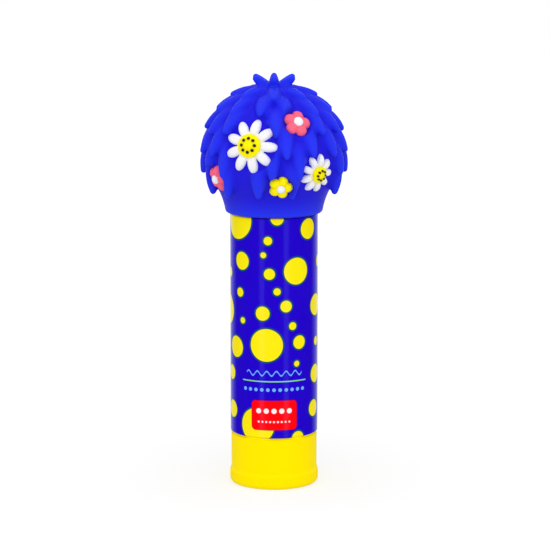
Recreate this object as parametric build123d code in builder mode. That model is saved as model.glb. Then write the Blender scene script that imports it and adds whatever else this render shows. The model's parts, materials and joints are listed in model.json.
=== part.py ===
"""Glue stick with a soft tufted topper: a twist-up stick, all sizes in millimetres.

The origin is the centre of the knob's underside, where the stick stands on a table,
and +Z runs up the stick through the cap.
"""

import math
import os

from build123d import *

os.makedirs("parts", exist_ok=True)

# Clearances and overruns
running_gap = 0.3       # between pieces that turn or slide past each other
seat_gap = 0.2          # between a moving piece and the shoulder it comes to rest on
cut_over = 1.0          # how far a cutting tool runs past the face it cuts
edge_break = 0.35       # the small chamfer on moulded edges

# Turning knob
knob_grip_radius = 13.25
knob_flange_radius = 13.7
knob_flange_height = 3.8
knob_step_height = 1.2      # the slanted step from the flange in to the grip
knob_height = 16.0
knob_wall = 1.4
knob_floor = 2.2
knob_foot_fillet = 1.5
knob_recess_radius = 10.2   # the shallow dish moulded in the underside
knob_recess_depth = 0.6
knob_boss_radius = 5.0
knob_boss_height = 6.4      # above the knob's floor

# Printed sleeve, the blue tube round the stick
sleeve_radius = 13.5
sleeve_wall = 1.4
sleeve_length = 68.2
sleeve_edge_fillet = 0.5

# Inner tube, which holds the glue
bore_radius = 10.6
neck_height = 13.0          # how far the tube stands above the sleeve, inside the cap
tube_floor = 2.0
spigot_length = 6.2         # the reduced end that sits inside the knob
bead_height = 0.4           # the ring that snaps into the knob
bead_width = 1.2
bead_from_end = 2.4
rib_height = 0.6            # the ribs that stop the follower from turning
rib_width = 1.6
rib_count = 4
rib_below_mouth = 3.0

# Lead screw
screw_lead = 4.0
thread_core_radius = 1.9
thread_crest_radius = 2.9
thread_root_width = 1.6
thread_crest_width = 1.0
thread_bite = 0.1           # how far a thread's root is sunk into what carries it
thread_side_gap = 0.3       # on each flank between the screw's thread and the nut's
shank_radius = 2.2
thrust_radius = 5.0
thrust_thickness = 1.0
screw_foot_radius = 3.2     # across the corners of the hexagonal foot
screw_foot_sides = 6
screw_run_out = 4.0         # thread left above the nut at the top of its travel

# Follower and glue
travel = 55.0
follower_floor = 1.6
follower_height = 10.0
follower_wall = 1.2
nut_leads = 2.1             # the nut's height, counted in leads of the screw
nut_wall = 1.4
nut_ridge_turns = 0.75
glue_below_mouth = 1.0
glue_wall_gap = 0.4

# Cap
cap_fit_gap = 0.25
cap_wall = 1.25
cap_inner_height = 25.8

# Soft topper: a tufted ball over the cap
ball_radius = 20.2
ball_above_seat = 17.9      # from the cap's lower edge to the ball's centre
ball_end_elevation = -30.0  # degrees: below this the ball draws in to the rim
topper_rim_wall = 1.35
topper_lip_fillet = 0.5

# Tufts, which lie down the ball from root to tip
tuft_proud = 2.95           # how far the tips stand out of the ball
tuft_root_radius = 4.0
tuft_tip_radius = 1.1
tuft_root_depth = 3.8
tuft_rake = 24.0            # degrees along the ball from root to tip
tuft_under_flower = 5.0     # degrees that a tuft may reach in under a flower's edge
# rows of tufts: degrees up to the tips, and how many would go round
tuft_rows = ((56.0, 8), (39.0, 12), (22.0, 16), (5.0, 16), (-12.0, 16), (-29.0, 12))

# Crown, the whorl of upright tufts at the top of the ball
crown_count = 6
crown_lean = 30.0           # degrees from upright
crown_root_radius = 2.7
crown_ring_radius = 2.0
crown_rise = 4.2            # above the top of the ball
crown_root_depth = 2.0

# Moulded flowers
inlay_depth = 0.9           # how deep a flower is let into the ball
petal_proud = 1.6           # how far the petals stand out of the ball, over the tufts
centre_proud = 2.3
seed_proud = 0.35           # above the flower's centre
seed_depth = 0.5
daisy_petals = 9
daisy_seeds = 8
blossom_petals = 5
daisy_petal_reach_share = 0.64      # shares of the flower's own radius
daisy_petal_length_share = 0.36
daisy_petal_width_share = 0.19
daisy_hub_share = 0.54
daisy_centre_share = 0.42
daisy_seed_ring_share = 0.25
daisy_seed_share = 0.055
blossom_petal_reach_share = 0.58
blossom_petal_share = 0.42
blossom_centre_share = 0.34

# flowers: degrees round from the front towards +X, degrees up from the ball's middle, radius
daisies = ((-21.0, 13.0, 8.4), (41.0, -12.0, 6.0), (112.0, 16.0, 7.2), (-120.0, -4.0, 7.0))
blossoms = ((24.0, 33.0, 4.3), (-60.0, -18.0, 4.2), (6.0, -23.0, 3.7), (168.0, 12.0, 4.6))

# Heights and radii that follow from the sizes above
sleeve_bottom = knob_height + running_gap
cap_seat = sleeve_bottom + sleeve_length
mouth = cap_seat + neck_height
tube_radius = sleeve_radius - sleeve_wall
knob_cavity_radius = knob_grip_radius - knob_wall
boss_top = knob_floor + knob_boss_height
spigot_radius = knob_cavity_radius - running_gap
tube_end = sleeve_bottom - spigot_length
tube_floor_top = tube_end + tube_floor
thrust_bottom = tube_floor_top + seat_gap
screw_base = thrust_bottom + thrust_thickness
follower_bottom = screw_base + running_gap
follower_top = follower_bottom + follower_height
cup_floor = follower_bottom + follower_floor
nut_height = nut_leads * screw_lead
nut_top = follower_bottom + nut_height
screw_top = nut_top + travel + screw_run_out
piston_radius = bore_radius - running_gap
cup_radius = piston_radius - follower_wall
nut_bore_radius = thread_crest_radius + running_gap
nut_radius = nut_bore_radius + nut_wall
nut_ridge_tip_width = screw_lead - thread_root_width - 2 * thread_side_gap
nut_ridge_root_width = screw_lead - thread_crest_width - 2 * thread_side_gap
rib_tip_radius = bore_radius - rib_height
glue_radius = bore_radius - glue_wall_gap
glue_top = mouth - glue_below_mouth
cap_bottom = cap_seat + seat_gap
cap_bore_radius = tube_radius + cap_fit_gap
cap_radius = cap_bore_radius + cap_wall
cap_ceiling = cap_bottom + cap_inner_height
cap_top = cap_ceiling + cap_wall
ball_centre = Vector(0, 0, cap_bottom + ball_above_seat)
ball_top = ball_centre.Z + ball_radius
topper_rim_radius = cap_radius + topper_rim_wall
pocket_proud = tuft_proud + cut_over    # a flower's pocket runs out past the tufts round it


def outward(azimuth, elevation):
    """The unit vector out of the ball's centre; azimuth 0 faces the front, which is -Y."""
    around = math.radians(azimuth)
    up = math.radians(elevation)
    return Vector(math.sin(around) * math.cos(up), -math.cos(around) * math.cos(up), math.sin(up))


def helical_rib(radius, start, turns, inner, inner_width, outer, outer_width):
    """A right-hand rib of trapezoid section, wound at the screw's lead from height start."""
    with BuildPart() as rib:
        with BuildLine() as route:
            Helix(pitch=screw_lead, height=turns * screw_lead, radius=radius, center=(0, 0, start))
        section = Plane(origin=route.line @ 0, x_dir=(1, 0, 0), z_dir=route.line % 0)
        with BuildSketch(section):
            with BuildLine():
                Polyline(
                    (inner - radius, -inner_width / 2),
                    (outer - radius, -outer_width / 2),
                    (outer - radius, outer_width / 2),
                    (inner - radius, inner_width / 2),
                    close=True,
                )
            make_face()
        sweep(path=route.line, is_frenet=True)
    return rib.part


def rib_keys(gap, mode):
    """The section of the bore's ribs, larger by gap all round, for the sketch in hand."""
    reach = rib_height + gap + cut_over
    with PolarLocations(rib_tip_radius - gap + reach / 2, rib_count):
        Rectangle(reach, rib_width + 2 * gap, mode=mode)


def save(piece, name):
    """Label a finished piece and write it to its own file."""
    piece.part.label = name
    export_step(piece.part, f"parts/{name}.step")


# Base knob: a cup with a grip ring round its foot and a hexagonal socket for the screw
with BuildPart() as base_knob:
    with BuildSketch(Plane.XZ):
        with BuildLine():
            Polyline(
                (0, 0),
                (knob_flange_radius, 0),
                (knob_flange_radius, knob_flange_height),
                (knob_grip_radius, knob_flange_height + knob_step_height),
                (knob_grip_radius, knob_height),
                (knob_cavity_radius, knob_height),
                (knob_cavity_radius, knob_floor),
                (0, knob_floor),
                close=True,
            )
        make_face()
    revolve(axis=Axis.Z)
    fillet(base_knob.edges().filter_by(GeomType.CIRCLE).group_by(Axis.Z)[0], knob_foot_fillet)
    chamfer(base_knob.edges().filter_by(GeomType.CIRCLE).group_by(Axis.Z)[-1], edge_break)
    with BuildSketch():
        Circle(knob_recess_radius)
    extrude(amount=knob_recess_depth, mode=Mode.SUBTRACT)
    with BuildSketch(Plane.XY.offset(knob_floor)):
        Circle(knob_boss_radius)
        RegularPolygon(screw_foot_radius, screw_foot_sides, mode=Mode.SUBTRACT)
    extrude(amount=knob_boss_height)
    # the groove that the tube's bead snaps into
    with BuildSketch(Plane.XY.offset(tube_end + bead_from_end - running_gap)):
        Circle(knob_cavity_radius + bead_height)
    extrude(amount=bead_width + 2 * running_gap, mode=Mode.SUBTRACT)
save(base_knob, "base_knob")

# Lead screw: hexagonal foot, plain shank, thrust flange and one long right-hand thread
with BuildPart() as lead_screw:
    with BuildSketch(Plane.XY.offset(knob_floor)):
        RegularPolygon(screw_foot_radius, screw_foot_sides)
    extrude(amount=knob_boss_height)
    with BuildSketch(Plane.XY.offset(boss_top)):
        Circle(shank_radius)
    extrude(amount=thrust_bottom - boss_top)
    with BuildSketch(Plane.XY.offset(thrust_bottom)):
        Circle(thrust_radius)
    extrude(amount=thrust_thickness)
    with BuildSketch(Plane.XY.offset(screw_base)):
        Circle(thread_core_radius)
    extrude(amount=screw_top - screw_base)
    chamfer(lead_screw.edges().group_by(Axis.Z)[-1], edge_break)
    add(
        helical_rib(
            thread_core_radius,
            screw_base + screw_lead / 2,
            (screw_top - screw_base) / screw_lead - 1,
            thread_core_radius - thread_bite,
            thread_root_width,
            thread_crest_radius,
            thread_crest_width,
        )
    )
save(lead_screw, "lead_screw")

# Inner tube: spigot and snap bead in the knob, ribbed bore, plain neck for the cap
with BuildPart() as inner_tube:
    with BuildSketch(Plane.XY.offset(tube_end)):
        Circle(spigot_radius)
    extrude(amount=spigot_length)
    with BuildSketch(Plane.XY.offset(tube_end + bead_from_end)):
        Circle(spigot_radius + bead_height)
    extrude(amount=bead_width)
    with BuildSketch(Plane.XY.offset(sleeve_bottom)):
        Circle(tube_radius)
    extrude(amount=mouth - sleeve_bottom)
    chamfer(inner_tube.edges().filter_by(GeomType.CIRCLE).group_by(Axis.Z)[-1], edge_break)
    with BuildSketch(Plane.XY.offset(tube_floor_top)):
        Circle(bore_radius)
    extrude(amount=mouth - tube_floor_top, mode=Mode.SUBTRACT)
    with BuildSketch(Plane.XY.offset(tube_floor_top)):
        rib_keys(0, Mode.ADD)
    extrude(amount=mouth - rib_below_mouth - tube_floor_top)
    with BuildSketch(Plane.XY.offset(tube_end)):
        Circle(shank_radius + running_gap)
    extrude(amount=tube_floor, mode=Mode.SUBTRACT)
save(inner_tube, "inner_tube")

# Printed sleeve: pressed over the tube; its upper edge is the cap's seat
with BuildPart() as printed_sleeve:
    with BuildSketch(Plane.XY.offset(sleeve_bottom)):
        Circle(sleeve_radius)
        Circle(tube_radius, mode=Mode.SUBTRACT)
    extrude(amount=sleeve_length)
    rims = printed_sleeve.edges().filter_by(GeomType.CIRCLE).sort_by(SortBy.RADIUS)[-2:]
    fillet(rims, sleeve_edge_fillet)
save(printed_sleeve, "printed_sleeve")

# Follower: a keyed cup with a threaded nut in its middle
with BuildPart() as follower:
    with BuildSketch(Plane.XY.offset(follower_bottom)):
        Circle(piston_radius)
        rib_keys(running_gap, Mode.SUBTRACT)
    extrude(amount=follower_height)
    with BuildSketch(Plane.XY.offset(cup_floor)):
        Circle(cup_radius)
    extrude(amount=follower_height - follower_floor, mode=Mode.SUBTRACT)
    with BuildSketch(Plane.XY.offset(follower_bottom)):
        Circle(nut_radius)
    extrude(amount=nut_height)
    with BuildSketch(Plane.XY.offset(follower_bottom)):
        Circle(nut_bore_radius)
    extrude(amount=nut_height, mode=Mode.SUBTRACT)
    # the ridge runs in the screw's groove, half a lead above the thread
    add(
        helical_rib(
            nut_bore_radius,
            screw_base + screw_lead,
            nut_ridge_turns,
            thread_core_radius + running_gap,
            nut_ridge_tip_width,
            nut_bore_radius + thread_bite,
            nut_ridge_root_width,
        )
    )
save(follower, "follower")

# Glue: cast in the cup and up the ribbed bore, hollow where the screw stands
with BuildPart() as glue:
    with BuildSketch(Plane.XY.offset(cup_floor)):
        Circle(cup_radius)
    extrude(amount=follower_top - cup_floor)
    with BuildSketch(Plane.XY.offset(follower_top)):
        Circle(glue_radius)
        rib_keys(running_gap, Mode.SUBTRACT)
    extrude(amount=glue_top - follower_top)
    chamfer(glue.faces().sort_by(Axis.Z)[-1].outer_wire().edges(), edge_break)
    with BuildSketch(Plane.XY.offset(cup_floor)):
        Circle(nut_radius)
    extrude(amount=nut_top - cup_floor, mode=Mode.SUBTRACT)
    with BuildSketch(Plane.XY.offset(nut_top)):
        Circle(nut_bore_radius)
    extrude(amount=screw_top + cut_over - nut_top, mode=Mode.SUBTRACT)
save(glue, "glue")

# Cap shell: the hard cup that fits the neck
with BuildPart() as cap_shell:
    with BuildSketch(Plane.XY.offset(cap_bottom)):
        Circle(cap_radius)
    extrude(amount=cap_top - cap_bottom)
    with BuildSketch(Plane.XY.offset(cap_bottom)):
        Circle(cap_bore_radius)
    extrude(amount=cap_ceiling - cap_bottom, mode=Mode.SUBTRACT)
    mouth_edges = cap_shell.edges().filter_by(GeomType.CIRCLE).group_by(Axis.Z)[0]
    chamfer(mouth_edges.sort_by(SortBy.RADIUS)[0], edge_break)
save(cap_shell, "cap_shell")


def seam_behind(face, middle):
    """Where to stand a sphere so that its seam and poles are off the flower on face."""
    return Plane(origin=middle, x_dir=-face.z_dir, z_dir=face.y_dir)


def ball_section(face, section, proud):
    """Raise a flower's section out of the ball as a slab that follows the ball's curve."""
    with BuildPart() as slab:
        extrude(to_extrude=section.sketch, amount=2 * ball_radius, dir=face.z_dir)
        with Locations(seam_behind(face, ball_centre)):
            Sphere(ball_radius + proud, mode=Mode.INTERSECT)
            Sphere(ball_radius - inlay_depth, mode=Mode.SUBTRACT)
    return slab


def flower_plane(azimuth, elevation):
    """The plane through the ball's centre that faces a flower, with X level."""
    around = math.radians(azimuth)
    level = (math.cos(around), math.sin(around), 0)
    return Plane(origin=ball_centre, x_dir=level, z_dir=outward(azimuth, elevation))


def domed_centre(face, radius):
    """A flower's round centre, turned about its axis, and its dome's radius and middle."""
    floor_radius = ball_radius - inlay_depth
    crest = ball_radius + centre_proud
    shoulder = math.sqrt((ball_radius + petal_proud) ** 2 - radius**2)
    rise = crest - shoulder
    dome_radius = (radius**2 + rise**2) / (2 * rise)
    with BuildPart() as centre:
        with BuildSketch(Plane(origin=ball_centre, x_dir=face.x_dir, z_dir=-face.y_dir)):
            with BuildLine():
                dome = TangentArc((0, crest), (radius, shoulder), tangent=(1, 0))
                foot = (radius, math.sqrt(floor_radius**2 - radius**2))
                floor = TangentArc((0, floor_radius), foot, tangent=(1, 0))
                Line(dome @ 1, floor @ 1)
                Line(dome @ 0, floor @ 0)
            make_face()
        revolve(axis=Axis(ball_centre, face.z_dir))
    return centre, dome_radius, ball_centre + face.z_dir * (crest - dome_radius)


def petals_and_pocket(face, draw_outline, radius, centre_radius):
    """A flower's petals as one piece, and the pocket in the ball for the whole flower."""
    with BuildSketch(face) as whole:
        draw_outline(radius)
    with BuildSketch(face) as ring:
        draw_outline(radius)
        Circle(centre_radius, mode=Mode.SUBTRACT)
    return ball_section(face, ring, petal_proud), ball_section(face, whole, pocket_proud)


def daisy_outline(radius):
    """Narrow petals joined by a hub, for the sketch in hand."""
    Circle(daisy_hub_share * radius)
    with PolarLocations(daisy_petal_reach_share * radius, daisy_petals):
        Ellipse(daisy_petal_length_share * radius, daisy_petal_width_share * radius)


def blossom_outline(radius):
    """Round petals that meet in the middle, for the sketch in hand."""
    Circle(blossom_petal_reach_share * radius)
    with PolarLocations(blossom_petal_reach_share * radius, blossom_petals):
        Circle(blossom_petal_share * radius)


def daisy(azimuth, elevation, radius):
    """White petals round a domed centre, with a ring of dark seeds let into the dome."""
    face = flower_plane(azimuth, elevation)
    centre_radius = daisy_centre_share * radius
    petals, pocket = petals_and_pocket(face, daisy_outline, radius, centre_radius)
    dome, dome_radius, dome_middle = domed_centre(face, centre_radius)
    with BuildSketch(face) as seed_ring:
        with PolarLocations(daisy_seed_ring_share * radius, daisy_seeds):
            Circle(daisy_seed_share * radius)
    with BuildPart() as seeds:
        add(ball_section(face, seed_ring, centre_proud + cut_over).part)
        with Locations(seam_behind(face, dome_middle)):
            Sphere(dome_radius + seed_proud, mode=Mode.INTERSECT)
            Sphere(dome_radius - seed_depth, mode=Mode.SUBTRACT)
    with BuildPart() as centre:
        add(dome.part)
        add(seeds.part, mode=Mode.SUBTRACT)
    return {"petals": petals, "centre": centre, "seeds": seeds}, pocket


def blossom(azimuth, elevation, radius):
    """Five round petals about a domed centre."""
    face = flower_plane(azimuth, elevation)
    centre_radius = blossom_centre_share * radius
    petals, pocket = petals_and_pocket(face, blossom_outline, radius, centre_radius)
    centre = domed_centre(face, centre_radius)[0]
    return {"petals": petals, "centre": centre}, pocket


# Flowers: each colour is a piece of its own, let into the topper
pockets = []
for kind, make, places in (("daisy", daisy, daisies), ("blossom", blossom, blossoms)):
    for number, place in enumerate(places, 1):
        layers, flower_pocket = make(*place)
        pockets.append(flower_pocket.part)
        for layer_name, layer in layers.items():
            save(layer, f"{kind}_{number}_{layer_name}")


def clear_of_flowers(directions):
    """Whether each direction misses every flower but for its outermost edge."""
    for azimuth, elevation, radius in daisies + blossoms:
        margin = math.degrees(math.asin(radius / ball_radius)) - tuft_under_flower
        middle = outward(azimuth, elevation)
        if any(direction.get_angle(middle) < margin for direction in directions):
            return False
    return True


def tuft_ends():
    """The root and tip of each tuft in the staggered rows, except where a flower sits."""
    ends = []
    for row, (elevation, count) in enumerate(tuft_rows):
        for place in range(count):
            azimuth = (place + row % 2 / 2) * 360 / count
            root_way = outward(azimuth, elevation + tuft_rake)
            tip_way = outward(azimuth, elevation)
            if clear_of_flowers((tip_way, (root_way + tip_way * 2) / 3)):
                root = ball_centre + root_way * (ball_radius - tuft_root_depth)
                tip = ball_centre + tip_way * (ball_radius + tuft_proud - tuft_tip_radius)
                ends.append((root, tip))
    return ends


def crown_ends(count, ring_radius, lean):
    """The root and tip of each upright tuft of the crown, on a ring and leaning out."""
    ends = []
    for place in range(count):
        level = outward(place * 360 / count, 0)
        root = Vector(0, 0, ball_top - crown_root_depth) + level * ring_radius
        rise = crown_rise + crown_root_depth - tuft_tip_radius
        ends.append((root, root + Vector(0, 0, rise) + level * rise * math.tan(math.radians(lean))))
    return ends


def cones(ends, root_radius):
    """Round-tipped cones of one length, from each root to its tip, joined to the part in hand."""
    length = (ends[0][1] - ends[0][0]).length
    with Locations(*[Plane(origin=root, z_dir=tip - root) for root, tip in ends]):
        Cone(root_radius, tuft_tip_radius, length, align=(Align.CENTER, Align.CENTER, Align.MIN))
    with Locations(*[tip for root, tip in ends]):
        Sphere(tuft_tip_radius)


# Topper: a thick soft skin over the cap shell, one moulding with its tufts and crown
with BuildPart() as topper:
    with BuildSketch(Plane.XZ):
        with BuildLine():
            ball_arc = CenterArc(
                (0, ball_centre.Z), ball_radius, ball_end_elevation, 90 - ball_end_elevation
            )
            TangentArc(
                ball_arc @ 0, (topper_rim_radius, cap_bottom), tangent=ball_arc % 0 * -1
            )
            Polyline((topper_rim_radius, cap_bottom), (0, cap_bottom), ball_arc @ 1)
        make_face()
    revolve(axis=Axis.Z)
    fillet(topper.edges().filter_by(GeomType.CIRCLE).group_by(Axis.Z)[0], topper_lip_fillet)
    cones(tuft_ends(), tuft_root_radius)
    cones(crown_ends(crown_count, crown_ring_radius, crown_lean), crown_root_radius)
    cones(crown_ends(1, 0, 0), crown_root_radius)
    with BuildSketch(Plane.XY.offset(cap_bottom)):
        Circle(cap_radius)
    extrude(amount=cap_top - cap_bottom, mode=Mode.SUBTRACT)
    add(pockets, mode=Mode.SUBTRACT)
save(topper, "topper")
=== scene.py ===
# %% [markdown]
# A twist-up glue stick: a yellow turning knob, a glossy printed sleeve and a pull-off cap that
# hides inside a soft rubber pom-pom with moulded flowers. The hard pieces come ready made from
# the frame and get their finishes here. The soft mouldings are modelled here by hand, because
# rubber out of a mould has round edges, swellings and small fillets that the hard solid lacks.

# %% Load the frame
import json
import math
import random

import bpy
import numpy as np
from mathutils import Matrix, Vector
from mathutils.geometry import interpolate_bezier

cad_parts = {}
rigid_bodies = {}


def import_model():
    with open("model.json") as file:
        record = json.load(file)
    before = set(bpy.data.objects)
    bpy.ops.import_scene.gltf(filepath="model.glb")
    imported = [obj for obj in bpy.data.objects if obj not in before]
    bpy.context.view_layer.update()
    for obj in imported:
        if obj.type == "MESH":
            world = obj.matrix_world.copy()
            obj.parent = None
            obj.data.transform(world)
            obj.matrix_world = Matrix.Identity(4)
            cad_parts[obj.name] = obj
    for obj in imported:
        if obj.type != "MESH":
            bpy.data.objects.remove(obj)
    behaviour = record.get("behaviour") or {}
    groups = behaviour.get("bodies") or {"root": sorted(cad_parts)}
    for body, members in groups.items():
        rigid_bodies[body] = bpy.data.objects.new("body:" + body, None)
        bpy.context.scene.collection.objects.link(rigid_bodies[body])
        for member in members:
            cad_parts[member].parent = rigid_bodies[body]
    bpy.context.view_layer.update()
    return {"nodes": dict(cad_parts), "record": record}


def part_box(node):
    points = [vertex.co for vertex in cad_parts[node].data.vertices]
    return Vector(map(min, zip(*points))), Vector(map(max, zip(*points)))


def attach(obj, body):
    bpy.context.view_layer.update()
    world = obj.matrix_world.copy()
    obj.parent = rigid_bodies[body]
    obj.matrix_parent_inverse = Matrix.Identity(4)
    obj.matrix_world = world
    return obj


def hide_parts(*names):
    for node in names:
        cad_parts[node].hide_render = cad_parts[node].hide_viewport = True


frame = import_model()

MM = 0.001      # the scene is in metres, so a millimetre gets a name

# %% [markdown]
# Whatever the frame already knows is read from it: how wide the sleeve is and where the cap
# sits. The ball has no edge of its own to measure, so its radius and its height over the cap's
# lower edge are stated here, as the mould maker's drawing would have them.

# %% Sizes read from the frame
sleeve_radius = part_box("printed_sleeve")[1].x
topper_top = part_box("topper")[1].z
cap_low, cap_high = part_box("cap_shell")
cap_radius = cap_high.x
cap_bottom, cap_top = cap_low.z, cap_high.z

ball_radius = 20.2 * MM
ball_over_edge = 17.9 * MM      # from the cap's lower edge up to the ball's middle
rim_wall = 1.35 * MM            # the rubber round the cap's lower edge
ball_centre = Vector((0, 0, cap_bottom + ball_over_edge))
rim_radius = cap_radius + rim_wall
print("sleeve radius", round(sleeve_radius / MM, 2), "mm, height", round(topper_top / MM, 1), "mm")

# %% [markdown]
# The photograph was taken from a little above the stick and from rather near: the sleeve looks
# slightly narrower towards its foot, and its rims look rounder the lower they lie. Both together
# tell how far off the camera stood. Its focal length is then worked out from how many pixels a
# millimetre of the stick takes in the picture.

# %% Camera
picture_px = 550
px_per_mm = 3.243
sensor_mm = 36.0
camera_distance = 0.81
camera_elevation = math.radians(9.7)
aim = Vector((0.3, 0, 64.95)) * MM

camera_data = bpy.data.cameras.new("camera")
camera_data.sensor_width = sensor_mm
camera_data.lens = px_per_mm / MM * sensor_mm * camera_distance / picture_px
camera = bpy.data.objects.new("camera", camera_data)
scene = bpy.context.scene
scene.collection.objects.link(camera)
back_way = Vector((0, -math.cos(camera_elevation), math.sin(camera_elevation)))
camera.location = aim + back_way * camera_distance
camera.rotation_euler = back_way.to_track_quat("Z", "Y").to_euler()
scene.camera = camera
print("focal length", round(camera_data.lens), "mm")

# %% [markdown]
# Finishes and the world are graphs of nodes. The helper here adds one node, sets its options and
# fills its inputs with values or with what other nodes give, so a step below takes one line. The
# world comes first and starts with no nodes, and the view shows colours as they are written.

# %% An empty world, and a helper for nodes
def node(tree, kind, inputs=(), **settings):
    """A new node with its settings and its inputs, each a value or another node's socket."""
    made = tree.nodes.new(kind)
    for name, value in settings.items():
        setattr(made, name, value)
    for name, value in dict(inputs).items():
        if isinstance(value, bpy.types.NodeSocket):
            tree.links.new(value, made.inputs[name])
        else:
            made.inputs[name].default_value = value
    return made


scene.view_settings.view_transform = "Standard"
world = bpy.data.worlds.new("studio")
scene.world = world
world.use_nodes = True
sky = world.node_tree
sky.nodes.clear()
print("the world", world.name, "starts with", len(sky.nodes), "nodes")

# %% [markdown]
# The studio is a white sweep, but white all round would wash out deep colours, because plastic
# mirrors a little of whatever stands opposite. So the world answers each kind of ray by itself.
# The camera sees pure white. Soft fill light comes evenly from all sides. Mirrored rays find
# white only behind the stick, which pales the sleeve's edges and keeps its middle deep.

# %% Light from the world
fill_level = 0.9
mirrored_level = 0.9
level_starts, level_full = 0.45, 0.95       # how straight back a mirrored ray has to run
white = (1, 1, 1, 1)

ray = node(sky, "ShaderNodeLightPath").outputs
way = node(sky, "ShaderNodeTexCoord").outputs["Generated"]
depth = node(sky, "ShaderNodeSeparateXYZ", {"Vector": way}).outputs["Y"]
backdrop = node(sky, "ShaderNodeMapRange", {
    "Value": depth, "From Min": level_starts, "From Max": level_full,
    "To Min": 0.0, "To Max": mirrored_level}).outputs[0]
mirrored = node(sky, "ShaderNodeBackground", {"Color": white, "Strength": backdrop})
fill = node(sky, "ShaderNodeBackground", {"Color": white, "Strength": fill_level})
plain = node(sky, "ShaderNodeBackground", {"Color": white, "Strength": 1.0})
shiny = node(sky, "ShaderNodeMath", {
    0: ray["Is Glossy Ray"], 1: ray["Is Transmission Ray"]}, operation="MAXIMUM").outputs[0]
lit = node(sky, "ShaderNodeMixShader", {0: shiny, 1: fill.outputs[0], 2: mirrored.outputs[0]})
seen = node(sky, "ShaderNodeMixShader", {
    0: ray["Is Camera Ray"], 1: lit.outputs[0], 2: plain.outputs[0]})
node(sky, "ShaderNodeOutputWorld", {"Surface": seen.outputs[0]})
print("fill light", fill_level, "and mirrored white", mirrored_level)

# %% [markdown]
# The floor has to look pure white and still hold the faint shadow under the knob. Part of its
# white is a steady glow, a little weaker close round the stick, and the rest is paper that the
# lamps light, so that the floor greys where the stick keeps the light off. A white floor also
# throws soft light back up at what stands on it, so it glows for that light too. Mirrored rays
# pass through it, or the whole sleeve would show a pale image of the floor.

# %% Floor
near_glow, far_glow = 0.63, 0.74
near_floor, far_floor = 0.02, 0.3       # how far out the glow starts to rise and is full
floor_bounce = 0.5
floor_size = 3.0
paper_grey = 0.34

bpy.ops.mesh.primitive_plane_add(size=floor_size)
floor = bpy.context.object
floor.name = "floor"
floor.visible_glossy = False

paper = bpy.data.materials.new("floor_paper")
paper.use_nodes = True
paper.cycles.emission_sampling = "NONE"
floor_tree = paper.node_tree
floor_tree.nodes.clear()
ray = node(floor_tree, "ShaderNodeLightPath").outputs
matt = node(floor_tree, "ShaderNodeBsdfDiffuse", {"Color": (paper_grey, paper_grey, paper_grey, 1)})
spot = node(floor_tree, "ShaderNodeTexCoord").outputs["Object"]
away = node(floor_tree, "ShaderNodeVectorMath", {0: spot}, operation="LENGTH").outputs["Value"]
level = node(floor_tree, "ShaderNodeMapRange", {
    "Value": away, "From Min": near_floor, "From Max": far_floor,
    "To Min": near_glow, "To Max": far_glow})
shown = node(floor_tree, "ShaderNodeMath", {
    0: ray["Is Camera Ray"], 1: level.outputs[0]}, operation="MULTIPLY")
thrown = node(floor_tree, "ShaderNodeMath", {
    0: ray["Is Diffuse Ray"], 1: floor_bounce, 2: shown.outputs[0]}, operation="MULTIPLY_ADD")
glow = node(floor_tree, "ShaderNodeEmission", {"Strength": thrown.outputs[0]})
both = node(floor_tree, "ShaderNodeAddShader", {0: matt.outputs[0], 1: glow.outputs[0]})
node(floor_tree, "ShaderNodeOutputMaterial", {"Surface": both.outputs[0]})
floor.data.materials.append(paper)
print("floor", floor_size, "m wide, its glow", near_glow, "to", far_glow)

# %% [markdown]
# Four lamps. A wide one overhead lightens whatever faces up, a soft one stands above the camera,
# and two tall narrow ones flank it. On a round sleeve a narrow lamp draws a narrow upright line
# of light, half as far round the sleeve as the lamp stands round the room.

# %% Lamps
def lamp(name, place, width, height, power):
    """An area lamp that faces the stick's middle."""
    data = bpy.data.lights.new(name, "AREA")
    data.shape = "RECTANGLE"
    data.size = width
    data.size_y = height
    data.energy = power
    made = bpy.data.objects.new(name, data)
    scene.collection.objects.link(made)
    made.location = place
    made.rotation_euler = (Vector(place) - aim).to_track_quat("Z", "Y").to_euler()
    return made


strip_turn = math.radians(32)
strip_distance = 0.9
strip_back = -math.cos(strip_turn) * strip_distance
lamps = []
for side, name in ((-1, "strip_left"), (1, "strip_right")):
    strip_across = side * math.sin(strip_turn) * strip_distance
    lamps.append(lamp(name, (strip_across, strip_back, 0.0), width=0.2, height=1.1, power=1.0))
lamps.append(lamp("overhead", place=(0, -0.2, 1.1), width=0.9, height=0.9, power=2.0))
lamps.append(lamp("above_camera", place=(0, -1.4, 0.8), width=1.0, height=0.5, power=3.5))
print(len(lamps), "lamps,", sum(one.data.energy for one in lamps), "W in all")

# %% [markdown]
# A shader takes a colour as amounts of light, while a screen writes it on a curve that suits the
# eye. This helper turns the second into the first, so that a colour can be written as it looks.

# %% Colours as a screen shows them
def srgb(red, green, blue):
    """A colour in 0 to 255, as the linear colour that shaders take."""
    def linear(level):
        level = level / 255
        return level / 12.92 if level <= 0.04045 else ((level + 0.055) / 1.055) ** 2.4
    return (linear(red), linear(green), linear(blue), 1)


print("a screen's 128 is", round(srgb(128, 128, 128)[0], 3), "of full light")

# %% [markdown]
# Plastic and rubber share one shader. Its highlights are tinted a little with the piece's own
# colour, which keeps bright plastics as saturated as they look in the hand. In a soft piece some
# of the light also travels under the surface before it comes out again.

# %% Shader for plastic and rubber
plastic_ior = 1.46
tint_share = 0.7            # how much of the piece's own colour is in its highlights
light_reach = 1.2 * MM      # how far light travels inside a soft piece


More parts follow.
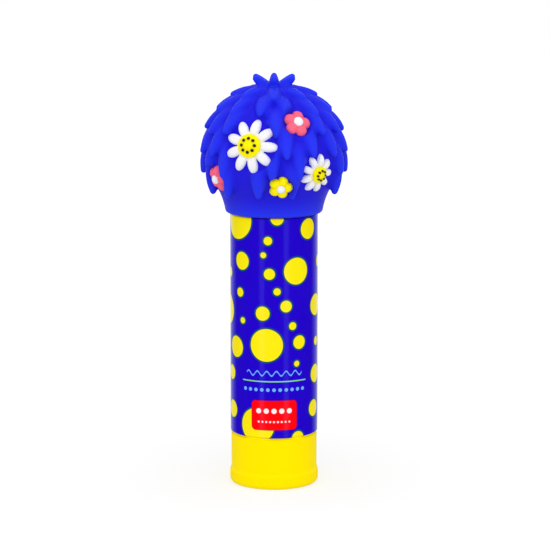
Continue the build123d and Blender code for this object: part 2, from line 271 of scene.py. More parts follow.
def plastic(name, colour, shine, soft):
    """A new material with its shader and tree; colour and roughness are linked by the caller."""
    material = bpy.data.materials.new(name)
    material.use_nodes = True
    tree = material.node_tree
    tree.nodes.clear()
    tint = tuple(1 - tint_share + tint_share * channel for channel in colour)
    shader = node(tree, "ShaderNodeBsdfPrincipled", {
        "IOR": plastic_ior, "Specular IOR Level": shine, "Specular Tint": tint})
    node(tree, "ShaderNodeOutputMaterial", {"Surface": shader.outputs[0]})
    if soft:
        shader.inputs["Subsurface Weight"].default_value = soft
        shader.inputs["Subsurface Scale"].default_value = light_reach
        shader.inputs["Subsurface Radius"].default_value = (1.0, 1.0, 1.0)
    return material, shader, tree


mirrored_share = ((plastic_ior - 1) / (plastic_ior + 1)) ** 2
print("plain plastic mirrors", round(100 * mirrored_share, 1), "percent of what it squarely faces")

# %% [markdown]
# A moulded surface is never quite even. Its base colour wavers very slightly, its roughness varies
# with handling, and the mould leaves a fine grain. These patterns read Object coordinates, which
# are metres on the part itself, so the grain keeps its true size on every piece.

# %% Clouds and grain of a moulded piece
cloud_scale = 90.0                  # noise over a metre, so its blotches are about a centimetre wide
cloud_low, cloud_high = 0.3, 0.7    # most of the noise lies between these
handling_share = 0.1                # how far handling moves the roughness either way


def moulded(name, colour, roughness, shine=0.5, grain=0.2 * MM, dent=0.008 * MM, waver=0.05, soft=0.0):
    """A moulded finish; returns the material, its shader and its tree."""
    material, shader, tree = plastic(name, colour, shine, soft)
    place = node(tree, "ShaderNodeTexCoord").outputs["Object"]
    cloud = node(tree, "ShaderNodeTexNoise", {
        "Vector": place, "Scale": cloud_scale, "Detail": 3.0}).outputs[0]

    def spread(low, high):
        """The cloudy noise, laid out between two values."""
        return node(tree, "ShaderNodeMapRange", {
            "Value": cloud, "From Min": cloud_low, "From Max": cloud_high,
            "To Min": low, "To Max": high}).outputs[0]

    pale = node(tree, "ShaderNodeMix", {"Factor": 1.0}, data_type="RGBA", blend_type="MULTIPLY")
    pale.inputs["A"].default_value = colour
    tree.links.new(spread(1 - waver, 1.0), pale.inputs["B"])
    fine = node(tree, "ShaderNodeTexNoise", {
        "Vector": place, "Scale": 1 / grain, "Detail": 2.0}).outputs[0]
    bump = node(tree, "ShaderNodeBump", {"Height": fine, "Distance": dent, "Strength": 1.0})
    tree.links.new(pale.outputs["Result"], shader.inputs["Base Color"])
    worn = spread(roughness * (1 - handling_share), roughness * (1 + handling_share))
    tree.links.new(worn, shader.inputs["Roughness"])
    tree.links.new(bump.outputs[0], shader.inputs["Normal"])
    return material, shader, tree


print("clouds on a moulded piece are about", round(1 / cloud_scale / MM), "mm wide")

# %% [markdown]
# Each kind of piece has a finish of its own: soft rubber for the topper and its flowers, a matt
# yellow for the knob, milky plastic for what is hidden inside, and a waxy one for the glue. The
# frame's record says which of them each node wears.

# %% One finish for each kind of piece
rubber_shine = 0.22
finishes = {
    "topper_rubber": moulded("blue_rubber", srgb(31, 33, 224), 0.5, rubber_shine, soft=0.1),
    "knob_yellow": moulded(
        "yellow_plastic", srgb(255, 228, 0), 0.45, shine=0.03, waver=0.02, soft=0.1),
    "cap_blue": moulded("blue_plastic", srgb(34, 28, 190), 0.35),
    "tube_white": moulded("tube_plastic", srgb(240, 240, 235), 0.35, soft=0.15),
    "screw_white": moulded("screw_plastic", srgb(232, 232, 226), 0.4, soft=0.15),
    "follower_white": moulded("follower_plastic", srgb(236, 236, 230), 0.4, soft=0.15),
    "glue_white": moulded(
        "solid_glue", srgb(244, 240, 226), 0.5, grain=0.6 * MM, dent=0.06 * MM, soft=0.3),
    "inlay_white": moulded("petal_white", srgb(236, 236, 240), 0.5, rubber_shine, waver=0.03, soft=0.15),
    "inlay_yellow": moulded("petal_yellow", srgb(252, 236, 0), 0.5, rubber_shine, waver=0.03, soft=0.1),
    "inlay_pink": moulded("petal_pink", srgb(250, 104, 132), 0.5, rubber_shine, waver=0.03, soft=0.1),
    "inlay_black": moulded("seed_black", srgb(40, 40, 36), 0.4, waver=0.05),
}


def dress(name, finish):
    """Give one of the frame's nodes a finish."""
    mesh = frame["nodes"][name].data
    mesh.materials.clear()
    mesh.materials.append(finish)


slots = {part["node"]: part["material_slot"] for part in frame["record"]["subparts"]}
for name, slot in slots.items():
    if slot in finishes:
        dress(name, finishes[slot][0])
print(len(finishes), "moulded finishes")

# %% [markdown]
# The tips of the tufts are painted lighter and the creases between them painted darker than their
# shading alone makes them: painted light and painted shade in the rubber's colour. How far a point
# lies from the middle of the ball says which of the two it is, and mixes the two tones of blue.

# %% Painted light on the tips and painted shade in the creases
# painted shade for the creases and painted light for the tips of the tufts
painted_crease_shade_blue = srgb(31, 14, 214)
painted_tip_light_blue = srgb(36, 52, 236)
crease_reach = ball_radius - 0.5 * MM
tip_reach = ball_radius + 2.6 * MM

_, rubber_shader, rubber_tree = finishes["topper_rubber"]
spot = node(rubber_tree, "ShaderNodeTexCoord").outputs["Object"]
away = node(rubber_tree, "ShaderNodeVectorMath", {0: spot, 1: ball_centre}, operation="DISTANCE")
painted_light_share = node(rubber_tree, "ShaderNodeMapRange", {
    "Value": away.outputs["Value"], "From Min": crease_reach, "From Max": tip_reach,
    "To Min": 0.0, "To Max": 1.0}).outputs[0]
# mixes the painted shade and the painted light into the rubber's base colour
painted_light_mix = node(rubber_tree, "ShaderNodeMix", {"Factor": painted_light_share}, data_type="RGBA")
painted_light_mix.inputs["A"].default_value = painted_crease_shade_blue
painted_light_mix.inputs["B"].default_value = painted_tip_light_blue
wavering = rubber_shader.inputs["Base Color"].links[0].from_node
rubber_tree.links.new(painted_light_mix.outputs["Result"], wavering.inputs["A"])
print("blue goes from crease to tip over", round((tip_reach - crease_reach) / MM, 1), "mm")

# %% [markdown]
# The knob turns under the sleeve with a narrow gap between them. Left as it is, the gap renders
# as a black line, which the photograph doesn't have. So the knob's top face, all but hidden under
# the sleeve, glows a little: painted light that lifts the shade in the gap.

# %% Painted light in the gap over the knob
painted_gap_light = 0.6
painted_gap_light_yellow = srgb(255, 223, 0)
painted_light_skin = 0.05 * MM       # painted_light_skin = 0.05 * MM # how thin a layer of the knob's top glows with painted light
knob_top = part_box("base_knob")[1].z

knob_finish, knob_shader, knob_tree = finishes["knob_yellow"]
spot = node(knob_tree, "ShaderNodeTexCoord").outputs["Object"]
height = node(knob_tree, "ShaderNodeSeparateXYZ", {"Vector": spot}).outputs["Z"]
painted_light_on_top = node(knob_tree, "ShaderNodeMath", {
    0: height, 1: knob_top - painted_light_skin}, operation="GREATER_THAN").outputs[0]
painted_gap_light_strength = node(knob_tree, "ShaderNodeMath", {0: painted_light_on_top, 1: painted_gap_light}, operation="MULTIPLY").outputs[0]
# the knob's top face glows though it is no lamp: painted light in the gap under the sleeve
knob_tree.links.new(painted_gap_light_strength, knob_shader.inputs["Emission Strength"])
knob_shader.inputs["Emission Color"].default_value = painted_gap_light_yellow
knob_finish.cycles.emission_sampling = "NONE"
print("the knob's top lies at", round(knob_top / MM, 2), "mm")

# %% [markdown]
# The sleeve is printed flat, then rolled and pressed on: yellow dots of all sizes on deep blue,
# each with a thin dark edge where the two inks overlap. Every dot is a point on the sleeve and a
# radius. The shader measures how far each place is from the nearest dot's edge, so the dots stay
# round and sharp at any distance without an image.

# %% Dots on the sleeve
# turn from the front towards +X in degrees, height and radius in millimetres
dots = (
    (-56, 82.7, 5.9), (4, 83.8, 2.0), (50.5, 80.1, 3.15), (-46.5, 70.3, 2.75), (-79, 65.9, 1.6),
    (30.5, 67.5, 4.12), (82, 69.3, 1.9), (-50, 60.5, 1.4), (-86, 54.2, 4.7), (-15, 54.6, 2.18),
    (-45, 51.9, 0.95), (70, 56.0, 3.35), (-10, 44.8, 5.07), (-59, 43.3, 3.3), (72, 44.6, 1.4),
    (-72, 34.8, 2.3), (69, 34.5, 2.85), (-69, 23.4, 2.7), (64, 23.8, 2.6), (-23, 19.6, 5.45),
    (33, 15.5, 2.1),
    (-8, 77.0, 1.3), (-14, 72.6, 0.9), (-6, 66.8, 1.7), (4, 61.4, 1.1), (16, 56.8, 1.8),
    (25, 50.6, 1.2), (35, 45.4, 2.1), (31, 38.8, 0.9),
    (104, 78.0, 4.4), (138, 72.5, 2.4), (172, 79.5, 3.4), (-154, 69.5, 4.6), (-122, 79.0, 2.2),
    (116, 62.0, 1.7), (150, 58.5, 4.9), (-178, 63.0, 1.3), (-128, 58.0, 2.9), (-104, 66.5, 1.2),
    (98, 47.5, 3.2), (126, 41.5, 1.4), (178, 46.0, 3.1), (-150, 44.5, 1.6), (-118, 41.0, 4.5),
    (110, 27.5, 4.9), (146, 33.5, 2.3), (-168, 28.5, 5.1), (-134, 25.0, 1.9), (-102, 22.0, 3.0),
    (138, 18.5, 1.8), (-146, 15.5, 2.6), (88, 17.0, 1.5),
)

sleeve_print, print_shader, print_tree = moulded(
    "sleeve_print", srgb(32, 0, 200), 0.16, grain=0.4 * MM, dent=0.002 * MM, waver=0.03)
print_lift = Vector((0, 0, 0.65)) * MM      # the print's heights start this far above the table
spot = node(print_tree, "ShaderNodeTexCoord").outputs["Object"]
place = node(print_tree, "ShaderNodeVectorMath", {
    0: spot, 1: print_lift}, operation="SUBTRACT").outputs[0]


def on_sleeve(turn, height):
    """The point on the sleeve at a turn from the front and a height in millimetres."""
    around = math.radians(turn)
    return Vector((math.sin(around) * sleeve_radius, -math.cos(around) * sleeve_radius, height * MM))


def reckon(operation, *values):
    """The result of a math node in the sleeve's finish."""
    return node(print_tree, "ShaderNodeMath", dict(enumerate(values)), operation=operation).outputs[0]


dot_edge = None
for turn, height, radius in dots:
    away = node(print_tree, "ShaderNodeVectorMath", {
        0: place, 1: on_sleeve(turn, height)}, operation="DISTANCE")
    edge = reckon("SUBTRACT", away.outputs["Value"], radius * MM)
    dot_edge = edge if dot_edge is None else reckon("MINIMUM", dot_edge, edge)
print(len(dots), "printed dots")

# %% [markdown]
# The front also carries a rule between a wave and a row of beads, and a red label panel with two
# more rows of beads. These are drawn in the sleeve's own flat measure: how far along its surface
# from the front, and how far up.

# %% The sleeve's flat measure
parts = node(print_tree, "ShaderNodeSeparateXYZ", {"Vector": place}).outputs
turned = reckon("ARCTAN2", parts["X"], reckon("MULTIPLY", parts["Y"], -1.0))
across = reckon("MULTIPLY", turned, sleeve_radius)
print("a degree round the sleeve is", round(math.radians(1) * sleeve_radius / MM, 2), "mm of print")

# %% [markdown]
# Each shape is a distance that is below zero inside it, and its sizes are stated in millimetres,
# as a printer's drawing has them. A wave is a plain line once its own swing is taken off the
# height. A box with round corners is all that lies within a corner's radius of a smaller box.

# %% Wave, rule and panel
print_shift = 0.1       # millimetres that the label stands to the right of the front


def off_line(value, middle):
    """Distance from a line at middle, in millimetres, to either side."""
    return reckon("ABSOLUTE", reckon("SUBTRACT", value, middle * MM))


def wave_line(height, length, rise, thickness, half_width):
    """Edge of a level sine wave about the label's middle, all in millimetres."""
    swing = reckon("SINE", reckon("MULTIPLY", across, 2 * math.pi / (length * MM)))
    flattened = reckon("SUBTRACT", parts["Z"], reckon("MULTIPLY", swing, rise * MM))
    line = reckon("SUBTRACT", off_line(flattened, height), thickness / 2 * MM)
    return reckon("MAXIMUM", line, reckon("SUBTRACT", off_line(across, print_shift), half_width * MM))


def rounded_box(middle_height, half_width, half_height, corner):
    """Edge of a round-cornered box at the front of the sleeve, all in millimetres."""
    over = [
        reckon("MAXIMUM", reckon("SUBTRACT", off_line(value, middle), (half - corner) * MM), 0.0)
        for value, middle, half in (
            (across, print_shift, half_width), (parts["Z"], middle_height, half_height))
    ]
    reach = reckon("SQRT", reckon("ADD", *[reckon("MULTIPLY", value, value) for value in over]))
    return reckon("SUBTRACT", reach, corner * MM)


wave = wave_line(height=36.0, length=3.0, rise=0.7, thickness=0.44, half_width=9.0)
rule = rounded_box(middle_height=33.5, half_width=10.6, half_height=0.17, corner=0.1)
panel = rounded_box(middle_height=22.95, half_width=7.2, half_height=4.6, corner=1.3)
print("with wave, rule and panel the print has", len(print_tree.nodes), "nodes")

# %% [markdown]
# A row of beads is one bead that repeats. How far along the row a point lies is rounded to the
# nearest bead's middle, and what is left over tells how far it stands to the side of that bead.

# %% Rows of beads
def row_of_beads(height, pitch, radius, half_width):
    """Edge of a level row of round beads about the front, all in millimetres."""
    step = reckon("ROUND", reckon("DIVIDE", across, pitch * MM))
    sideways = reckon("SUBTRACT", across, reckon("MULTIPLY", step, pitch * MM))
    upward = off_line(parts["Z"], height)
    squares = [reckon("MULTIPLY", value, value) for value in (sideways, upward)]
    bead = reckon("SUBTRACT", reckon("SQRT", reckon("ADD", *squares)), radius * MM)
    return reckon("MAXIMUM", bead, reckon("SUBTRACT", off_line(across, 0), half_width * MM))


beads = row_of_beads(height=30.9, pitch=1.9, radius=0.55, half_width=10.2)
panel_beads = row_of_beads(height=24.3, pitch=2.4, radius=0.8, half_width=5.6)
small_beads = row_of_beads(height=20.9, pitch=1.2, radius=0.3, half_width=5.2)
print("with the beads it has", len(print_tree.nodes), "nodes")

# %% [markdown]
# The inks are laid one over the other, as in a press: dots first, then the fine lines, and the
# panel over whatever it covers. A layer shows wherever its shape's distance is below zero, and
# its edge is blurred by a twentieth of a millimetre, so that it looks printed and not cut.

# %% Lay the inks
ink_blur = 0.05 * MM
dot_rim = 0.48 * MM         # how far the dark edge of an ink stands out from under the next
panel_rim = 0.14 * MM
pale_blue = srgb(112, 176, 255)
bead_white = srgb(255, 235, 235)


def layer(under, colour, edge):
    """Ink of one colour over what is printed, where edge is below zero."""
    inside = node(print_tree, "ShaderNodeMapRange", {
        "Value": edge, "From Min": ink_blur, "From Max": -ink_blur, "To Min": 0.0, "To Max": 1.0})
    mixed = node(print_tree, "ShaderNodeMix", {"Factor": inside.outputs[0]}, data_type="RGBA")
    print_tree.links.new(under, mixed.inputs["A"])
    mixed.inputs["B"].default_value = colour
    return mixed.outputs["Result"]


ink = print_shader.inputs["Base Color"].links[0].from_socket
for colour, edge in (
    (srgb(4, 80, 100), reckon("SUBTRACT", dot_edge, dot_rim)),
    (srgb(248, 230, 0), dot_edge),
    (pale_blue, wave),
    (srgb(140, 215, 80), rule),
    (pale_blue, beads),
    (srgb(90, 0, 60), reckon("SUBTRACT", panel, panel_rim)),
    (srgb(255, 0, 0), panel),
    (bead_white, panel_beads),
    (bead_white, small_beads),
):
    ink = layer(ink, colour, edge)
print_tree.links.new(ink, print_shader.inputs["Base Color"])
dress("printed_sleeve", sleeve_print)
print("the sleeve's finish has", len(print_tree.nodes), "nodes")

# %% [markdown]
# The topper starts as a turned body, as its mould did, and of a turned body only half the outline
# is drawn. It runs over the ball, in along a smooth draw-in, over the narrow lip and across the
# underside. The draw-in leaves the ball along its slope and bends evenly down to the rim.

# %% Outline of the ball and its skirt
ball_end = math.radians(-30)        # below this the ball draws in to the rim
lip_width = 0.5 * MM
arc_steps = 40
draw_in_steps = 12


def draw_in(start, heading, end, steps):
    """Points of a smooth curve that leaves start along heading and bends evenly to end."""
    chord = end - start
    reach = chord.length / 3
    arrival = 2 * heading.dot(chord.normalized()) * chord.normalized() - heading
    return interpolate_bezier(start, start + heading * reach, end - arrival * reach, end, steps)


outline = []
for step in range(arc_steps + 1):
    angle = math.pi / 2 + (ball_end - math.pi / 2) * step / arc_steps
    outline.append(ball_centre + Vector((math.cos(angle), 0, math.sin(angle))) * ball_radius)
heading = Vector((math.sin(ball_end), 0, -math.cos(ball_end)))
rim = Vector((rim_radius, 0, cap_bottom + lip_width))
outline += draw_in(outline[-1], heading, rim, draw_in_steps)[1:]
outline += [Vector((rim_radius - lip_width, 0, cap_bottom)), Vector((0, 0, cap_bottom))]
print(len(outline), "points in the topper's outline")

# %% [markdown]
# Blender's primitives have no single point, so a tiny plane is merged to one, and that point is
# extruded from place to place along the outline. Spinning the outline once round the axis makes
# the solid, whose last seam is merged.

# %% Turn the ball and its skirt
round_steps = 96                    # how many flats stand for a full circle
merge_within = 0.01 * MM


def open_in_edit(made, name):
    """Name a new primitive and go into edit mode with all of it selected."""
    made.name = made.data.name = name
    bpy.ops.object.mode_set(mode="EDIT")
    bpy.ops.mesh.select_all(action="SELECT")


def draw_line(name, points):
    """A new object in edit mode: one vertex extruded through the points."""
    bpy.ops.object.select_all(action="DESELECT")
    bpy.ops.mesh.primitive_plane_add(size=MM)
    made = bpy.context.object
    open_in_edit(made, name)
    bpy.ops.mesh.merge(type="CENTER")
    bpy.ops.transform.translate(value=points[0])
    for here, there in zip(points, points[1:]):
        bpy.ops.mesh.extrude_region_move(TRANSFORM_OT_translate={"value": there - here})
    return made


topper = draw_line("topper_moulding", outline)
bpy.ops.mesh.select_all(action="SELECT")
bpy.ops.mesh.spin(steps=round_steps, angle=2 * math.pi, center=(0, 0, 0), axis=(0, 0, 1))
bpy.ops.mesh.select_all(action="SELECT")
bpy.ops.mesh.remove_doubles(threshold=merge_within)
bpy.ops.mesh.normals_make_consistent(inside=False)
bpy.ops.object.mode_set(mode="OBJECT")
print("turned body:", len(topper.data.vertices), "vertices")

# %% [markdown]
# The ball is covered with tufts that lie down it like shingles. A tuft is made as a limb: a ring
# that is carried along a curved path and resized, so the limb thins as it goes. The path starts
# inside the ball, runs down and outwards, and ends a little proud of it. A cut-off end would look
# sawn, so two small rings past the last one round it off.

# %% Path of a tuft
tip_radius = 1.1 * MM
tip_ring_shares = (0.6, 0.95)       # where the two end rings stand, as shares of the tip's radius
tuft_proud = 2.95 * MM
tuft_root = 4.0 * MM
tuft_sunk = 3.8 * MM
tuft_rake = math.radians(24)
tuft_rise, tuft_fullness = 0.8, 1.35        # powers: how soon it stands proud, how late it thins
tuft_steps = 12


def round_off(path, radii):
    """Add the two end rings to a limb's path and radii."""
    last = path[-1]
    ending = (last - path[-2]).normalized()
    for share in tip_ring_shares:
        path.append(last + ending * tip_radius * share)
        radii.append(tip_radius * math.sqrt(1 - share**2))


tuft_path = []
tuft_radii = []
for step in range(tuft_steps + 1):
    share = step / tuft_steps
    up = tuft_rake * (1 - share)
    out = ball_radius - tuft_sunk + (tuft_sunk + tuft_proud - tip_radius) * share ** tuft_rise
    tuft_path.append(Vector((0, -math.cos(up), math.sin(up))) * out)
    tuft_radii.append(tip_radius + (tuft_root - tip_radius) * (1 - share ** tuft_fullness))
round_off(tuft_path, tuft_radii)
print(len(tuft_path), "rings along a tuft, the first", round(tuft_radii[0] / MM, 1), "mm in radius")

# %% [markdown]
# Each new ring is extruded from the last one, turned to stay square to the path, and resized. Only
# one tuft is grown, with its root wide enough to touch its neighbours, and all the others are
# copies of it.

# %% Grow one tuft
def grow(name, path, radii, sides=16):
    """A closed limb: a ring carried along a path in the YZ plane and resized to the radii."""
    runs = [there - here for here, there in zip(path, path[1:])]
    bends = [math.atan2(run.y, run.z) for run in runs]
    turns = [bends[0]] + [(before + after) / 2 for before, after in zip(bends, bends[1:])] + [bends[-1]]
    bpy.ops.object.select_all(action="DESELECT")
    bpy.ops.mesh.primitive_circle_add(vertices=sides, radius=radii[0], fill_type="NGON")
    made = bpy.context.object
    open_in_edit(made, name)
    made_turn = 0
    for step, (point, radius, turn) in enumerate(zip(path, radii, turns)):
        if step == 0:
            bpy.ops.transform.translate(value=point)
        else:
            bpy.ops.mesh.extrude_region_move(TRANSFORM_OT_translate={"value": point - path[step - 1]})
            bpy.ops.transform.resize(value=[radius / radii[step - 1]] * 3, center_override=point)
        bpy.ops.transform.rotate(value=turn - made_turn, orient_axis="X", center_override=point)
        made_turn = turn
    bpy.ops.mesh.select_all(action="SELECT")
    bpy.ops.mesh.normals_make_consistent(inside=False)
    bpy.ops.object.mode_set(mode="OBJECT")
    return made


tuft = grow("tuft", tuft_path, tuft_radii)
tuft_size = [round(side / MM, 1) for side in tuft.dimensions]
print("one tuft:", len(tuft.data.vertices), "vertices, size in mm", tuft_size)

# %% [markdown]
# The flowers sit on the ball in an uneven scatter, and the tufts leave room for them. A place on
# the ball is written the way a globe is: degrees round from the front, and degrees up from the
# middle. A flower has its radius in millimetres as well.

# %% Places on the ball
daisies = ((-21, 13, 8.4), (41, -12, 6.0), (112, 16, 7.2), (-120, -4, 7.0))
blossoms = ((24, 33, 4.3), (-60, -18, 4.2), (6, -23, 3.7), (168, 12, 4.6))
under_flower = 5        # degrees that a tuft may reach in under a flower's edge


def outward(azimuth, elevation):
    """The unit vector out of the ball; azimuth 0 faces the front, which is -Y."""
    around, up = math.radians(azimuth), math.radians(elevation)
    return Vector((math.sin(around) * math.cos(up), -math.cos(around) * math.cos(up), math.sin(up)))


def clear_of_flowers(ways):
    """Whether each direction misses every flower but for its outermost edge."""
    for azimuth, elevation, radius in daisies + blossoms:
        margin = math.asin(radius * MM / ball_radius) - math.radians(under_flower)
        if any(way.angle(outward(azimuth, elevation)) < margin for way in ways):
            return False
    return True


print(len(daisies), "daisies and", len(blossoms), "blossoms have their places")

# %% [markdown]
# Each row of tufts is set half a step off the row above it. Every copy gets a little turn, tilt
# and width of its own by chance, so that the rows don't look machined. The chance comes from a
# fixed seed, so that it falls the same way each time.

# %% Lay the tufts in rows
# rows of tufts: degrees up to the tips, and how many would go round
tuft_rows = ((56, 8), (39, 12), (22, 16), (5, 16), (-12, 16), (-29, 12))
most_sway, most_dip = 1.5, 1.0          # degrees to either side, and up or down
thinnest, thickest = 0.95, 1.08
chance = random.Random(7)


def copy_to(piece, turn):
    """A copy of a piece, turned about the origin and then set on the ball's centre."""
    twin = piece.copy()
    twin.data = piece.data.copy()
    scene.collection.objects.link(twin)
    twin.matrix_world = Matrix.Translation(ball_centre) @ turn
    return twin


tufts = []
rake = math.degrees(tuft_rake)
for row, (elevation, count) in enumerate(tuft_rows):
    for place_in_row in range(count):
        azimuth = (place_in_row + row % 2 / 2) * 360 / count
        root_way, tip_way = outward(azimuth, elevation + rake), outward(azimuth, elevation)
        lower_way = (root_way + tip_way * 2) / 3        # two thirds of the way from root to tip
        if not clear_of_flowers((tip_way, lower_way)):
            continue
        sway = math.radians(azimuth + chance.uniform(-most_sway, most_sway))
        dip = math.radians(elevation + chance.uniform(-most_dip, most_dip))
        size = Matrix.Diagonal((chance.uniform(thinnest, thickest), 1, 1, 1))
        tufts.append(copy_to(tuft, Matrix.Rotation(sway, 4, "Z") @ Matrix.Rotation(-dip, 4, "X") @ size))
print(len(tufts), "tufts laid")

# %% [markdown]
# The crown is a whorl of shorter tufts that stand up and curl out from the top of the ball, with
# one upright in their middle. They are grown the same way, along a path that leans further the
# higher it gets.

# %% Grow the crown
crown_height = topper_top - ball_centre.z
crown_count = 6
crown_foot = 2.0 * MM       # how far from the middle a leaning tuft starts
crown_reach = 6.4 * MM      # how far from the middle its tip ends
crown_root = 2.7 * MM
crown_sunk = 2.0 * MM
crown_curl = 1.5            # the power by which it leans further the higher it gets
crown_swell_share = 0.15    # how much of its rise it gains early, so that it bows
crown_steps = 8


def crown_tuft(name, foot, lean):
    """An upright limb from inside the ball's top, curling out by lean."""
    low = ball_radius - crown_sunk
    rise = crown_height - tip_radius - low
    path, radii = [], []
    for step in range(crown_steps + 1):
        share = step / crown_steps
        up = low + rise * (share + crown_swell_share * share * (1 - share))
        path.append(Vector((0, -foot - lean * share ** crown_curl, up)))
        radii.append(tip_radius + (crown_root - tip_radius) * (1 - share))
    round_off(path, radii)
    return grow(name, path, radii)


upright = crown_tuft("crown_upright", 0, 0)
leaning = crown_tuft("crown_leaning", crown_foot, crown_reach - crown_foot)
tufts.append(copy_to(upright, Matrix.Identity(4)))
for step in range(crown_count):
    tufts.append(copy_to(leaning, Matrix.Rotation(2 * math.pi * step / crown_count, 4, "Z")))
for pattern in (tuft, upright, leaning):
    bpy.data.objects.remove(pattern)
print(len(tufts), "limbs with the crown")

# %% [markdown]
# In the mould all of this is one skin of rubber. Joined pieces only overlap, so a voxel remesh
# turns them into one closed surface, and a light smoothing then gives every crease the small
# fillet that rubber needs to come out of its mould.

# %% Melt the pieces into one skin
def join(pieces, name):
    """Join the objects into the first, which keeps its place."""
    bpy.ops.object.select_all(action="DESELECT")
    for piece in pieces:
        piece.select_set(True)
    bpy.context.view_layer.objects.active = pieces[0]
    bpy.ops.object.join()
    pieces[0].name = pieces[0].data.name = name
    return pieces[0]


def modify(piece, kind, **settings):
    """Apply one modifier to a piece."""
    bpy.ops.object.select_all(action="DESELECT")
    piece.select_set(True)
    bpy.context.view_layer.objects.active = piece
    modifier = piece.modifiers.new(kind.lower(), kind)
    for name, value in settings.items():
        setattr(modifier, name, value)
    bpy.ops.object.modifier_apply(modifier=modifier.name)


skin_voxel = 0.4 * MM
smoothing = {"factor": 0.5, "iterations": 4}
topper = join([topper] + tufts, "topper_moulding")
modify(topper, "REMESH", mode="VOXEL", voxel_size=skin_voxel)
modify(topper, "SMOOTH", **smoothing)
print("one skin:", len(topper.data.polygons), "faces")

# %% [markdown]
# The flowers are let into the ball, so the tufts may not stand up through them. Every point of
# the skin that lies under a flower is pressed down to just below the ball's surface, and the
# press fades out over a short way round it. That leaves a shallow seat with a soft edge.

# %% Press a seat for each flower
seat_depth = 0.2 * MM
seat_share = 0.9            # how much of a flower's radius the flat of its seat takes
seat_fade = 2.0 * MM


def points_of(piece):
    """A piece's vertices as an array of rows."""
    flat = np.empty(len(piece.data.vertices) * 3)
    piece.data.vertices.foreach_get("co", flat)
    return flat.reshape(-1, 3)


def set_points(piece, rows):
    """Write an array of rows back into a piece's vertices."""
    piece.data.vertices.foreach_set("co", rows.ravel())
    piece.data.update()


skin = points_of(topper) - np.array(ball_centre)
reach = np.linalg.norm(skin, axis=1)
pressed_points = 0
for azimuth, elevation, radius in daisies + blossoms:
    way = np.array(outward(azimuth, elevation))
    beside = np.linalg.norm(np.cross(skin, way), axis=1)
    facing = skin @ way > 0
    fade = np.clip((beside - seat_share * radius * MM) / seat_fade, 0, 1)
    eased = fade**2 * (3 - 2 * fade)        # starts and ends softly
    limit = ball_radius - seat_depth + eased * (tuft_proud + seat_depth)
    pressed = facing & (fade < 1) & (reach > limit)
    skin[pressed] *= (limit[pressed] / reach[pressed])[:, None]
    reach = np.minimum(reach, np.where(pressed, limit, reach))
    pressed_points += np.count_nonzero(pressed)
set_points(topper, skin + np.array(ball_centre))
modify(topper, "SMOOTH", **smoothing)
print(pressed_points, "points pressed down under the flowers")

# %% [markdown]
# The cap goes into the topper from below, so its room is cut out last with a plain cylinder.
# Cut after the remesh, the room keeps crisp walls and costs few faces.

# %% Cut the room for the cap
room_over = 1.0 * MM        # how far the cutter runs out below the rim
crisp_angle = math.radians(50)      # an edge that turns by more than this stays an edge
room_height = cap_top - cap_bottom + room_over
bpy.ops.object.select_all(action="DESELECT")
bpy.ops.mesh.primitive_cylinder_add(
    vertices=round_steps, radius=cap_radius, depth=room_height,
    location=(0, 0, cap_bottom - room_over + room_height / 2))
cutter = bpy.context.object
modify(topper, "BOOLEAN", operation="DIFFERENCE", object=cutter, solver="EXACT")
bpy.data.objects.remove(cutter)
bpy.ops.object.shade_smooth_by_angle(angle=crisp_angle)


def finish_piece(piece, slot_name, body, *nodes):
    """Dress a piece from its slot, let it ride on a body and stand for the frame's nodes."""
    piece.data.materials.clear()
    piece.data.materials.append(finishes[slot_name][0])
    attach(piece, body)
    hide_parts(*nodes)


finish_piece(topper, "topper_rubber", "cap", "topper")
triangles = sum(len(face.vertices) - 2 for face in topper.data.polygons)
print("topper:", triangles, "triangles, size in mm", [round(side / MM, 2) for side in topper.dimensions])

# %% [markdown]
# A moulded petal is a soft bead of coloured rubber with a groove pressed along it. A flower is
# first modelled flat, round the origin: petals are set in a ring about a hub, joined and melted
# into one as the tufts were.

# %% Helper that models a flat flower
flat_radius = 7.0 * MM
petal_half_height = 1.45 * MM
petal_middle = 0.15 * MM            # how far a petal's middle lies over the ball's surface
groove_half_width = 0.45 * MM
hub_height_share = 0.85
petal_voxel = 0.17 * MM
petal_smoothing = {"factor": 0.5, "iterations": 5}


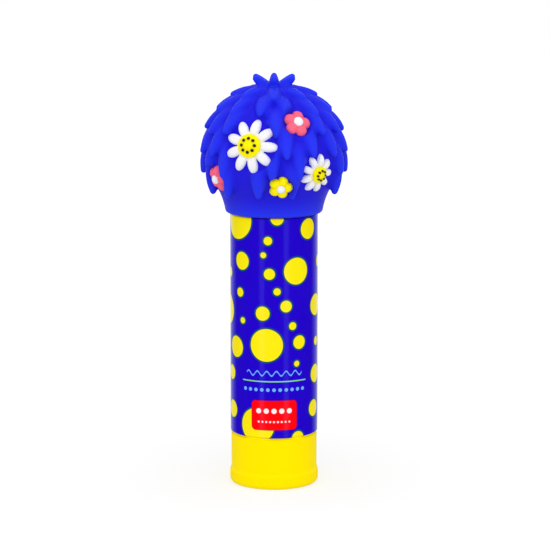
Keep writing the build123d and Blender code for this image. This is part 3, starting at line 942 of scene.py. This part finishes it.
def flat_flower(name, count, reach, length, width, hub, groove):
    """Petals round a hub, as shares of the flower's radius; the groove is in metres."""
    pieces = []
    for step in range(count + 1):
        bpy.ops.object.select_all(action="DESELECT")
        bpy.ops.mesh.primitive_uv_sphere_add(segments=24, ring_count=14, radius=1)
        piece = bpy.context.object
        is_hub = step == count
        half_length, half_width = (hub, hub) if is_hub else (length, width)
        rows = points_of(piece)
        top = np.clip(rows[:, 2], 0, 1)
        along_middle = np.exp(-(rows[:, 1] * half_width * flat_radius / groove_half_width) ** 2)
        rows *= np.array((half_length * flat_radius, half_width * flat_radius, petal_half_height))
        if is_hub:
            rows[:, 2] *= hub_height_share
        else:
            rows[:, 2] -= groove * along_middle * top
            rows[:, 0] += reach * flat_radius
        rows[:, 2] += petal_middle
        angle = 2 * math.pi * step / count
        turn = np.array(Matrix.Rotation(angle, 3, "Z"))
        set_points(piece, rows @ turn.T)
        pieces.append(piece)
    flower = join(pieces, name)
    modify(flower, "REMESH", mode="VOXEL", voxel_size=petal_voxel)
    modify(flower, "SMOOTH", **petal_smoothing)
    return flower


print("petals are", round(2 * petal_half_height / MM, 1), "mm thick before their groove is pressed")

# %% [markdown]
# Two kinds of flower are enough: a daisy with many narrow petals and a blossom with five round
# ones. One of each is modelled, and bent copies of it go to every place on the ball.

# %% Model a daisy and a blossom
flat_daisy = flat_flower(
    "flat_daisy", count=9, reach=0.66, length=0.34, width=0.185, hub=0.5, groove=0.28 * MM)
flat_blossom = flat_flower(
    "flat_blossom", count=5, reach=0.58, length=0.42, width=0.42, hub=0.5, groove=0.1 * MM)
for flower in (flat_daisy, flat_blossom):
    flower_size = [round(side / MM, 1) for side in flower.dimensions]
    print(flower.name, len(flower.data.polygons), "faces, size in mm", flower_size)

# %% [markdown]
# To bend a flat flower onto the ball, each point keeps its place across the flower and is lifted
# to the ball's height there, so the flower keeps its outline as seen from straight over it. A
# point's height over the flat becomes its height over the ball.

# %% Bend the petals onto the ball
def lay_flower(flat, name, place, slot_name):
    """A bent copy of a flat flower, on the ball at its place."""
    azimuth, elevation, radius = place
    around = math.radians(azimuth)
    out = outward(azimuth, elevation)
    level = Vector((math.cos(around), math.sin(around), 0))
    axes = np.array((level, out.cross(level), out))
    laid = flat.copy()
    laid.data = flat.data.copy()
    laid.name = laid.data.name = name + "_moulding"
    scene.collection.objects.link(laid)
    rows = points_of(laid)
    rows[:, :2] *= radius * MM / flat_radius
    rows[:, 2] = np.sqrt((ball_radius + rows[:, 2]) ** 2 - (rows[:, :2] ** 2).sum(axis=1))
    set_points(laid, rows @ axes + np.array(ball_centre))
    for face in laid.data.polygons:
        face.use_smooth = True
    finish_piece(laid, slot_name, "cap", name)


for kind, flat, places in (("daisy", flat_daisy, daisies), ("blossom", flat_blossom, blossoms)):
    for number, place_on_ball in enumerate(places, 1):
        name = f"{kind}_{number}_petals"
        lay_flower(flat, name, place_on_ball, slots[name])
    bpy.data.objects.remove(flat)
print("flowers laid:", len(daisies) + len(blossoms))
